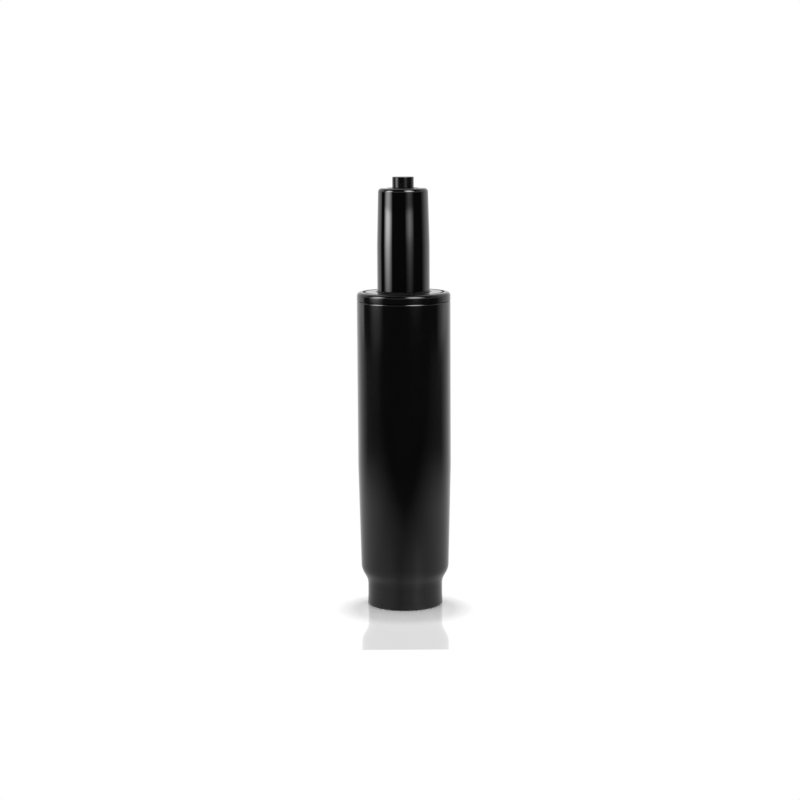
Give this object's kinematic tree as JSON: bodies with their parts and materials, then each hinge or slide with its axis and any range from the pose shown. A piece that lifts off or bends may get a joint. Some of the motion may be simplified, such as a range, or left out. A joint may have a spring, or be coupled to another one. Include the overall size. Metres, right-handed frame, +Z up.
{
  "type": "chair gas lift cylinder",
  "caption": "Lockable gas spring for a swivel chair: black column with a base cone and necked foot, a slim tube that slides and turns in it, a seat cone and a push button.",
  "frame": {"origin": "middle of the column's lower rim, where the lift stands on a flat surface", "axes": "+Z up along the axis that the tube slides and turns on, from the base cone to the button"},
  "size_m": [0.05, 0.05, 0.2306],
  "materials": {
    "column_coat": "satin black powder coat",
    "tube_coat": "gloss black",
    "sleeve_plastic": "moulded black",
    "plate_steel": "pressed, oiled",
    "spring_steel": "blackened",
    "race_steel": "ground",
    "hard_chrome": "polished",
    "cage_plastic": "moulded natural",
    "guide_plastic": "moulded natural",
    "light_alloy": "turned",
    "turned_brass": "turned",
    "seal_rubber": "smooth",
    "buffer_rubber": "moulded"
  },
  "bodies": {
    "column": {"column_tube": "column_coat", "guide_sleeve": "sleeve_plastic", "base_plate": "plate_steel", "bearing_lower_race": "race_steel"},
    "cage": {"bearing_cage": "cage_plastic", "bearing_balls": "hard_chrome"},
    "rod": {"piston_rod": "hard_chrome", "bearing_upper_race": "race_steel", "rod_washer": "plate_steel", "rod_clip": "spring_steel", "buffer": "buffer_rubber", "buffer_washer": "plate_steel", "piston": "light_alloy", "piston_washers": "plate_steel", "piston_seal": "seal_rubber"},
    "cylinder": {"pressure_tube": "tube_coat", "inner_cylinder": "race_steel", "end_washer": "plate_steel", "rod_seal": "seal_rubber", "seal_washer": "plate_steel", "rod_guide": "guide_plastic", "valve_body": "light_alloy", "valve_body_seals": "seal_rubber", "valve_spacer": "turned_brass", "valve_pin_seals": "seal_rubber", "valve_retainer": "turned_brass", "valve_cap": "light_alloy"},
    "button": {"release_button": "tube_coat", "valve_pin": "race_steel"}
  },
  "joints": [
    {"name": "swivel", "type": "hinge", "parent": "column", "child": "rod", "pos_m": [0, 0, 0.012], "axis": [0, 0, 1], "continuous": true},
    {"name": "cage_roll", "type": "hinge", "parent": "column", "child": "cage", "pos_m": [0, 0, 0.012], "axis": [0, 0, 1], "continuous": true},
    {"name": "lift", "type": "slide", "parent": "rod", "child": "cylinder", "axis": [0, 0, 1], "range_m": [0, 0.08]},
    {"name": "release_press", "type": "slide", "parent": "cylinder", "child": "button", "axis": [0, 0, -1], "range_m": [0, 0.003], "stiffness_N_per_m": 5000, "springref_m": -0.016}
  ],
  "couplings": [
    {"joint": "cage_roll", "follows": "swivel", "ratio": 0.5}
  ]
}
